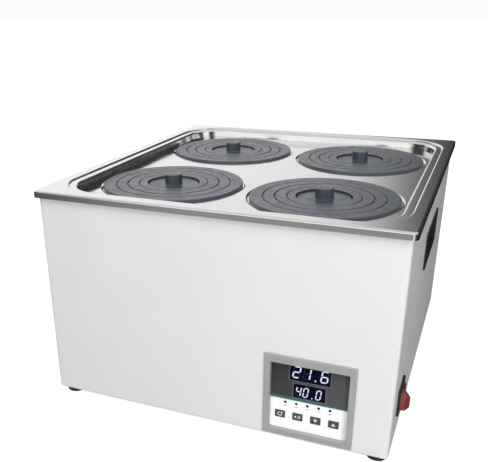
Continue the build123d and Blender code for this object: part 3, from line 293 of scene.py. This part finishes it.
def mineral_wool():
    """Felted wool: matted fibres in two directions."""
    finish = Finish("mineral_wool", (0.70, 0.66, 0.55), 0.95)
    finish.mottle(0.18, 1.1, (12, 1, 1)).mottle(0.12, 0.9, (1, 9, 1)).mottle(0.08, 30)
    return finish.grain(1.0, 0.5, (10, 1, 1), 4.0).grain(1.0, 0.5, (1, 10, 2), 4.0).done()


def circuit_board():
    """Green solder resist, with pale tracks showing through as fine straight lines."""
    finish = Finish("circuit_board", (0.012, 0.13, 0.05), 0.35)
    for stretch in (ALONG_X, ALONG_Z):
        tracks = between(finish.tree, finish.noise(1.1, 0.0, stretch), 0.56, 0.60, 0.0, 0.5)
        finish.tint(tracks, (0.06, 0.26, 0.12))
    return finish.mottle(0.06, 12).grain(1.1, 0.01, ALONG_X).done()


def transformer_core():
    """Varnished stack of laminations, striped across its height."""
    finish = Finish("transformer_core", (0.11, 0.10, 0.10), 0.42)
    leaves = finish.noise(0.6, 1.0, (40, 1, 40))
    finish.tint(between(finish.tree, leaves, 0.45, 0.6, 0.0, 0.7), (0.22, 0.20, 0.19))
    return finish.mottle(0.1, 8).bump(leaves, 0.05).done()


def wire_insulation():
    """PVC wires: the mains runs are brown, the heater leads are red sleeving."""
    finish = Finish("wire_insulation", (0.35, 0.03, 0.025), 0.45)
    x = put(finish.tree, "SeparateXYZ", {0: finish.where}).outputs[0]
    finish.tint(between(finish.tree, x, 0.03, 0.05), (0.13, 0.055, 0.03))
    return finish.mottle(0.08, 5).grain(0.8, 0.01, (1, 8, 8)).done()


FINISHES = {
    "white_powder_coat": powder_coat(),
    "galvanised_sheet": galvanised(),
    "stainless_tank": stainless("stainless_tank", STEEL, 0.11, ALONG_X),
    "stainless_cover": stainless("stainless_cover", STEEL, 0.13, ALONG_X),
    "stainless_shelf": stainless("stainless_shelf", (0.58, 0.58, 0.57), 0.30, ALONG_Y),
    "slate_plastic": slate_plastic(),
    "black_plastic": moulded("black_plastic", BLACK, 0.42),
    "rocker_red": rocker_red(),
    "bezel_grey": moulded("bezel_grey", (0.37, 0.37, 0.37), 0.45, rub=0.1),
    "fascia_dark": fascia_film(),
    "key_panel_white": key_film(),
    "key_grey": moulded("key_grey", (0.070, 0.068, 0.068), 0.4, grain=0.4, rub=0.1),
    "display_face": display_face(),
    "led_lens": moulded("led_lens", (0.012, 0.012, 0.012), 0.2, grain=0.3, depth=0.002),
    "foot_rubber": rubber("foot_rubber", (0.02, 0.02, 0.02)),
    "silicone_gasket": rubber("silicone_gasket", (0.45, 0.45, 0.44)),
    "zinc_screw": machined("zinc_screw", (0.56, 0.56, 0.55), 0.3),
    "heater_sheath": heater_sheath(),
    "probe_sheath": machined("probe_sheath", (0.58, 0.58, 0.58), 0.22, ALONG_Z),
    "gland_brass": machined("gland_brass", (0.62, 0.44, 0.18), 0.28, ALONG_Z),
    "cutout_aluminium": machined("cutout_aluminium", (0.70, 0.70, 0.70), 0.33, ALONG_X),
    "insulation_wool": mineral_wool(),
    "circuit_board": circuit_board(),
    "nylon_white": moulded("nylon_white", (0.72, 0.72, 0.69), 0.5, rub=0.05),
    "switch_body": moulded("switch_body", (0.03, 0.03, 0.03), 0.45),
    "transformer_core": transformer_core(),
    "wire_pvc": wire_insulation(),
}

for subpart in frame["record"]["subparts"]:
    mesh = frame["nodes"][subpart["node"]].data
    mesh.materials.clear()
    mesh.materials.append(FINISHES[subpart["material_slot"]])


# ================================================================ flat pieces on the panel
def prisms(name, outlines, front, thickness, body, material):
    """Thin upright plates: closed (x, z) outlines in metres, facing -Y at depth front."""
    mesh = bpy.data.meshes.new(name)
    shape = bmesh.new()
    for outline in outlines:
        near = [shape.verts.new((x, front, z)) for x, z in outline]
        far = [shape.verts.new((x, front + thickness * MM, z)) for x, z in outline]
        shape.faces.new(near)
        shape.faces.new(reversed(far))
        for i in range(len(outline)):
            j = (i + 1) % len(outline)
            shape.faces.new((near[j], near[i], far[i], far[j]))
    bmesh.ops.recalc_face_normals(shape, faces=shape.faces)
    shape.to_mesh(mesh)
    shape.free()
    mesh.materials.append(material)
    piece = bpy.data.objects.new(name, mesh)
    bpy.context.scene.collection.objects.link(piece)
    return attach(piece, body)


def centre_of(node):
    low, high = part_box(node)
    return (low + high) / 2


def bar(x, z, width, height):
    """Rectangle round (x, z); all in metres but width and height, which are in millimetres."""
    w, h = width * MM / 2, height * MM / 2
    return [(x - w, z - h), (x + w, z - h), (x + w, z + h), (x - w, z + h)]


def disc(x, z, radius, points=20):
    turns = [2 * math.pi * i / points for i in range(points)]
    return [(x + radius * MM * math.cos(t), z + radius * MM * math.sin(t)) for t in turns]


def border(low, high, width):
    """Four bars that frame the box between two corners."""
    x, z = (low.x + high.x) / 2, (low.z + high.z) / 2
    w, h = (high.x - low.x) / MM, (high.z - low.z) / MM
    side = (w + width) / 2 * MM
    top = (h + width) / 2 * MM
    return [
        bar(x - side, z, width, h + 2 * width), bar(x + side, z, width, h + 2 * width),
        bar(x, z - top, w, width), bar(x, z + top, w, width),
    ]


# ---------------------------------------------------------------- seven-segment digits
SEGMENTS = {
    "a": ((0, 2), (1, 2)), "b": ((1, 2), (1, 1)), "c": ((1, 1), (1, 0)), "d": ((0, 0), (1, 0)),
    "e": ((0, 1), (0, 0)), "f": ((0, 2), (0, 1)), "g": ((0, 1), (1, 1)),
}
LIT = {"0": "abcdef", "1": "bc", "2": "abged", "4": "fgbc", "6": "afgecd"}
DIGIT_SLANT = math.tan(math.radians(8))
SEGMENT_GAP = 0.25
SEGMENT_RELIEF = 0.06  # how far the segments stand out of the display's face
LIT_THICKNESS = 0.12
DARK_THICKNESS = 0.1
DOT_SHARE = 0.6  # the decimal point's radius over a segment's width
LIT_SEGMENT = Finish("lit_segment", (0.25, 0.28, 0.35), 0.4).mottle(0.06, 2)
LIT_SEGMENT = LIT_SEGMENT.glow((0.72, 0.80, 1.0), 0.72).done()
UNLIT_SEGMENT = Finish("unlit_segment", (0.003, 0.003, 0.018), 0.4).mottle(0.1, 2)
UNLIT_SEGMENT = UNLIT_SEGMENT.grain(0.5, 0.004).done()


def segment(start, end, cell_w, cell_h, stroke):
    """Hexagonal bar between two corners of a digit's two-square grid."""
    a = Vector((start[0] * cell_w, start[1] * cell_h))
    b = Vector((end[0] * cell_w, end[1] * cell_h))
    along = (b - a).normalized()
    across = Vector((-along.y, along.x)) * stroke / 2
    a, b = a + along * SEGMENT_GAP, b - along * SEGMENT_GAP
    shoulder = along * stroke / 2
    return [a, a + shoulder - across, b - shoulder - across, b,
            b - shoulder + across, a + shoulder + across]


def digit(names, x, bottom, width, height, stroke):
    """Outlines of a digit's named segments, slanted, with its middle at x."""
    cell_w, cell_h = width - stroke, (height - stroke) / 2
    shapes = []
    for name in names:
        points = segment(*SEGMENTS[name], cell_w, cell_h, stroke)
        shapes.append([
            (x + (p.x - cell_w / 2 + (p.y - cell_h) * DIGIT_SLANT) * MM,
             bottom + (p.y + stroke / 2) * MM)
            for p in points
        ])
    return shapes


def reading(node, glyphs, bottom_gap, width, height, stroke):
    """Lights a display: glyphs are (character, millimetres right of the display's middle)."""
    low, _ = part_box(node)
    middle = centre_of(node).x
    bottom = low.z + bottom_gap * MM
    lit, dark = [], []
    for character, offset in glyphs:
        x = middle + offset * MM
        if character == ".":
            lit.append(disc(x, bottom + stroke * MM / 2, stroke * DOT_SHARE))
            continue
        if character == "1":
            x -= (width - stroke) * MM / 2
        lit += digit(LIT[character], x, bottom, width, height, stroke)
        rest = [name for name in SEGMENTS if name not in LIT[character]]
        dark += digit(rest, x, bottom, width, height, stroke)
    front = low.y - SEGMENT_RELIEF * MM
    for suffix, outlines, thickness, finish in (
        ("_lit_segments", lit, LIT_THICKNESS, LIT_SEGMENT),
        ("_unlit_segments", dark, DARK_THICKNESS, UNLIT_SEGMENT),
    ):
        prisms(node + suffix, outlines, front, thickness, "housing", finish)


measured = (("2", -11.4), ("1", 0.0), (".", 4.5), ("6", 12.2))
wanted = (("4", -9.2), ("0", -3.1), (".", 2.4), ("0", 7.8))
reading("upper_display", measured, bottom_gap=2.3, width=6.5, height=11.6, stroke=1.2)
reading("lower_display", wanted, bottom_gap=1.3, width=4.6, height=9.6, stroke=0.95)


# ---------------------------------------------------------------- printed marks
def ink(name, colour, roughness=0.5):
    return Finish(name, colour, roughness).mottle(0.08, 1.5).uneven(0.05, 2).grain(0.3, 0.002).done()


WHITE_INK = ink("white_ink", (0.80, 0.80, 0.80))
GREY_INK = ink("grey_ink", (0.30, 0.30, 0.31))
TEAL_INK = ink("teal_ink", (0.060, 0.125, 0.118), 0.35)
CYAN_INK = ink("cyan_ink", (0.60, 0.93, 0.90), 0.35)
FRAME_INK = ink("frame_ink", (0.13, 0.12, 0.16), 0.35)
INK_THICKNESS = 0.06
LAMPS = 5
LEGEND_DROP = 3.2  # from a lamp's middle to its dash
LEGEND_W, LEGEND_H = 3.0, 0.6
BAND_H = 2.6
LINE_H = 0.8
DISPLAY_BORDER_W = 0.7


def printed(name, node, outlines, material, body="housing"):
    """A layer of ink on the front face of a node."""
    low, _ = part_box(node)
    front = low.y - INK_THICKNESS * MM
    return prisms(name, outlines, front, INK_THICKNESS, body, material)


def triangle(x, z, size, turn):
    """Arrowhead round (x, z), pointing up at turn 0."""
    points = [turn + math.radians(angle) for angle in (90, 210, 330)]
    return [(x + size * MM * math.cos(t), z + size * MM * math.sin(t)) for t in points]


def loop(x, z, radius, width, start, end, steps=16):
    """Part of a flat ring between two angles in degrees."""
    turns = [math.radians(start + (end - start) * i / steps) for i in range(steps + 1)]
    outside, inside = (radius + width / 2) * MM, (radius - width / 2) * MM
    outer = [(x + outside * math.cos(t), z + outside * math.sin(t)) for t in turns]
    inner = [(x + inside * math.cos(t), z + inside * math.sin(t)) for t in reversed(turns)]
    return outer + inner


def key_symbol(name):
    """The symbol printed on a key: a loop for set, an arrow and bars for shift, and arrows."""
    middle = centre_of(name)
    x, z = middle.x, middle.z
    if name == "set_key":
        head = triangle(x + 1.6 * MM, z + 1.5 * MM, size=1.2, turn=0.3)
        return [loop(x, z, radius=1.7, width=0.7, start=80, end=370), head]
    if name == "shift_key":
        lines = [bar(x + 1.5 * MM, z + step * MM, width=2.4, height=0.5) for step in (-1.1, 0, 1.1)]
        return [triangle(x - 1.7 * MM, z, size=1.5, turn=math.pi / 2), *lines]
    if name == "down_key":
        return [triangle(x, z + 0.4 * MM, size=2.1, turn=math.pi)]
    return [triangle(x, z - 0.4 * MM, size=2.1, turn=0)]


for key in ("set_key", "shift_key", "down_key", "up_key"):
    printed(key + "_symbol", key, key_symbol(key), WHITE_INK, body=key)

low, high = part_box("indicator_leds")
lamp_radius = (high.z - low.z) / 2
lamp_step = (high.x - low.x - 2 * lamp_radius) / (LAMPS - 1)
lamp_places = [low.x + lamp_radius + lamp_step * i for i in range(LAMPS)]
legend_z = low.z + lamp_radius - LEGEND_DROP * MM
dashes = [bar(x, legend_z, LEGEND_W, LEGEND_H) for x in lamp_places]
printed("lamp_legends", "key_panel", dashes, GREY_INK)

# The band lies on the fascia's lower edge, and the line on the key panel's upper one
low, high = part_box("display_fascia")
across = (low.x + high.x) / 2
full_width = (high.x - low.x) / MM
band = bar(across, low.z + BAND_H * MM / 2, full_width, BAND_H)
line = bar(across, low.z - LINE_H * MM / 2, full_width, LINE_H)
printed("divider_band", "display_fascia", [band], TEAL_INK)
printed("divider_line", "key_panel", [line], CYAN_INK)
for display in ("upper_display", "lower_display"):
    outline = border(*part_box(display), DISPLAY_BORDER_W)
    printed(display + "_border", "display_fascia", outline, FRAME_INK)


# ================================================================ studio
BATH = (0.0, 0.0, 0.1)
AMBIENT = 0.22
FLOOR_SIZE = 12
FLOOR_GLOW = 0.9  # seen by the camera alone, so that the floor stays pale in the picture
KEY_POWER = 3.5
SIDE_POWER = 9
TOP_POWER = 25

# What the steel mirrors, by compass bearing in degrees from +Y towards +X. Each pair is where a
# surface starts and where it is reached in full.
BACKDROP = (-28, 0)
BACKDROP_SHADES = ((0.0, 1.12), (0.50, 0.98), (0.64, 0.80), (0.73, 0.48), (0.82, 0.20), (0.92, 0.05))
BACKDROP_TINT = (1.0, 0.985, 0.99)
LEFT_SCREEN = (-80, -100)
FRONT_STRIP = (-138, -156)
FRONT_RIGHT_STRIP = (135, 155)
WINDOW_LEFT_EDGE = (92, 100)
WINDOW_RIGHT_EDGE = (126, 118)
CEILING = (0.50, 0.66)  # heights of a direction of length 1
HORIZON = (0.02, -0.04)
SCREEN_SHADE = (0.05, 0.05, 0.052)
STRIP_SHADE = (1.25, 1.25, 1.25)
WINDOW_SHADE = (1.3, 1.3, 1.3)
CEILING_SHADE = (0.86, 0.85, 0.85)
LOW_LEFT_SHADE = (0.08, 0.077, 0.077)
LOW_FRONT_SHADE = (0.36, 0.355, 0.35)
LOW_RIGHT_SHADE = (0.9, 0.9, 0.9)
LOW_REAR_SHADE = (0.02, 0.02, 0.02)
WALL_SHADE = (0.96, 0.96, 0.965)  # what the camera itself sees behind the bath


def studio_floor():
    """Plain pale floor. It is left out of reflections, so that the steel mirrors the studio only."""
    mesh = bpy.data.meshes.new("studio_floor")
    shape = bmesh.new()
    bmesh.ops.create_grid(shape, x_segments=1, y_segments=1, size=FLOOR_SIZE)
    shape.to_mesh(mesh)
    shape.free()
    finish = Finish("floor_paper", (0.45, 0.45, 0.45), 0.9)
    finish.mottle(0.006, 120).glow((1.0, 1.0, 1.0), 0.0)
    seen = put(finish.tree, "LightPath").outputs["Is Camera Ray"]
    glow = number(finish.tree, "MULTIPLY", seen, FLOOR_GLOW)
    finish.tree.links.new(glow, finish.shader.inputs["Emission Strength"])
    mesh.materials.append(finish.grain(2, 0.02).done())
    floor = bpy.data.objects.new("studio_floor", mesh)
    bpy.context.scene.collection.objects.link(floor)
    floor.visible_glossy = False


def softbox(name, place, size, power):
    """Square area light, aimed at the bath and hidden from reflections."""
    lamp = bpy.data.lights.new(name, "AREA")
    lamp.size = size
    lamp.energy = power
    holder = bpy.data.objects.new(name, lamp)
    bpy.context.scene.collection.objects.link(holder)
    holder.location = place
    direction = Vector(BATH) - Vector(place)
    holder.rotation_euler = direction.to_track_quat("-Z", "Y").to_euler()
    holder.visible_glossy = False


def between_straight(tree, angle, low, high):
    """angle's place between two angles in degrees, in proportion, from 0 to 1."""
    inputs = {"Value": angle, 1: math.radians(low), 2: math.radians(high), 3: 0.0, 4: 1.0}
    return put(tree, "MapRange", inputs).outputs[0]


def between_degrees(tree, angle, low, high):
    """The same, smoothly."""
    return between(tree, angle, math.radians(low), math.radians(high))


def studio_world():
    """Soft even light for the surfaces, and a studio with a dark screen for the steel to mirror."""
    world = bpy.data.worlds.new("studio_world")
    bpy.context.scene.world = world
    world.use_nodes = True
    tree = world.node_tree
    tree.nodes.clear()
    direction = put(tree, "TexCoord").outputs["Generated"]
    axes = put(tree, "SeparateXYZ", {0: direction}).outputs
    azimuth = number(tree, "ARCTAN2", axes[0], axes[1])  # from +Y towards +X
    height = axes[2]
    # behind the bath: bright on the left, through greys to a dark screen on the right
    behind = put(tree, "ValToRGB", {0: between_straight(tree, azimuth, *BACKDROP)})
    for stop, shade in BACKDROP_SHADES:
        point = behind.color_ramp.elements.new(stop)
        point.color = rgba([shade * part for part in BACKDROP_TINT])
    for spare in (0, -1):
        behind.color_ramp.elements.remove(behind.color_ramp.elements[spare])
    # on the left it is dark, then pales again to bright strips in front and a window on the right
    left = between_degrees(tree, azimuth, *LEFT_SCREEN)
    around = mix(tree, left, behind.outputs[0], rgba(SCREEN_SHADE))
    ahead = between_degrees(tree, azimuth, *FRONT_STRIP)
    around = mix(tree, ahead, around, rgba(STRIP_SHADE))
    ahead_right = between_degrees(tree, azimuth, *FRONT_RIGHT_STRIP)
    around = mix(tree, ahead_right, around, rgba(STRIP_SHADE))
    window_left = between_degrees(tree, azimuth, *WINDOW_LEFT_EDGE)
    window_right = between_degrees(tree, azimuth, *WINDOW_RIGHT_EDGE)
    window = number(tree, "MULTIPLY", window_left, window_right)
    around = mix(tree, window, around, rgba(WINDOW_SHADE))
    above = mix(tree, between(tree, height, *CEILING), around, rgba(CEILING_SHADE))
    # under the horizon: grey in front, paler to the right, and dark behind
    front = mix(tree, ahead, rgba(LOW_LEFT_SHADE), rgba(LOW_FRONT_SHADE))
    front = mix(tree, ahead_right, front, rgba(LOW_RIGHT_SHADE))
    below = mix(tree, between(tree, axes[1], -0.3, 0.0), front, rgba(LOW_REAR_SHADE))
    mirrored = mix(tree, between(tree, height, *HORIZON), above, below)
    light_path = put(tree, "LightPath").outputs
    even = rgba((AMBIENT, AMBIENT, AMBIENT))
    seen = mix(tree, light_path["Is Glossy Ray"], even, mirrored)
    seen = mix(tree, light_path["Is Camera Ray"], seen, rgba(WALL_SHADE))
    background = put(tree, "Background", {"Color": seen, "Strength": 1.0})
    put(tree, "OutputWorld", {"Surface": background.outputs[0]})
    world.cycles.sampling_method = "NONE"  # so that the steel sees the mirrored studio alone


studio_floor()
studio_world()
softbox("key_softbox", (0.0, -2.4, 0.8), 1.2, KEY_POWER)
softbox("side_softbox", (0.9, -1.1, 0.5), 0.5, SIDE_POWER)
softbox("top_softbox", (-0.1, -1.1, 1.9), 1.2, TOP_POWER)

# ================================================================ camera
CAMERA_PLACE = Vector((0.1978, -0.6410, 0.3552))
CAMERA_FORWARD = Vector((-0.35496, 0.84156, -0.40715))
CAMERA_UP = Vector((-0.14747, 0.37966, 0.91330))
SENSOR_W = 36.0
FOCAL_SHARE = 1.36879  # focal length over the sensor's width
SHIFT_X = 0.07426  # of the sensor's width, as with a view camera
SHIFT_Y = 0.13514
AT_HOME = 0.001  # the camera counts as unmoved within this many metres

camera_data = bpy.data.cameras.new("camera")
camera_data.sensor_width = SENSOR_W
camera_data.lens = FOCAL_SHARE * SENSOR_W
camera_data.clip_start = 0.01
camera = bpy.data.objects.new("camera", camera_data)
bpy.context.scene.collection.objects.link(camera)
right = CAMERA_FORWARD.cross(CAMERA_UP).normalized()
up = right.cross(CAMERA_FORWARD).normalized()
turn = Matrix((right, up, -CAMERA_FORWARD.normalized())).transposed()
camera.matrix_world = Matrix.Translation(CAMERA_PLACE) @ turn.to_4x4()
bpy.context.scene.camera = camera

# The lens is shifted in this view only: a driver takes the shift away once the camera moves
home = bpy.data.objects.new("camera_home", None)
home.location = CAMERA_PLACE
bpy.context.scene.collection.objects.link(home)
for channel, shift in (("shift_x", SHIFT_X), ("shift_y", SHIFT_Y)):
    driver = camera_data.driver_add(channel).driver
    moved = driver.variables.new()
    moved.name = "moved"
    moved.type = "LOC_DIFF"
    moved.targets[0].id = camera
    moved.targets[1].id = home
    driver.expression = f"{shift:.5f} if moved < {AT_HOME} else 0.0"

bpy.context.scene.view_settings.view_transform = "Standard"
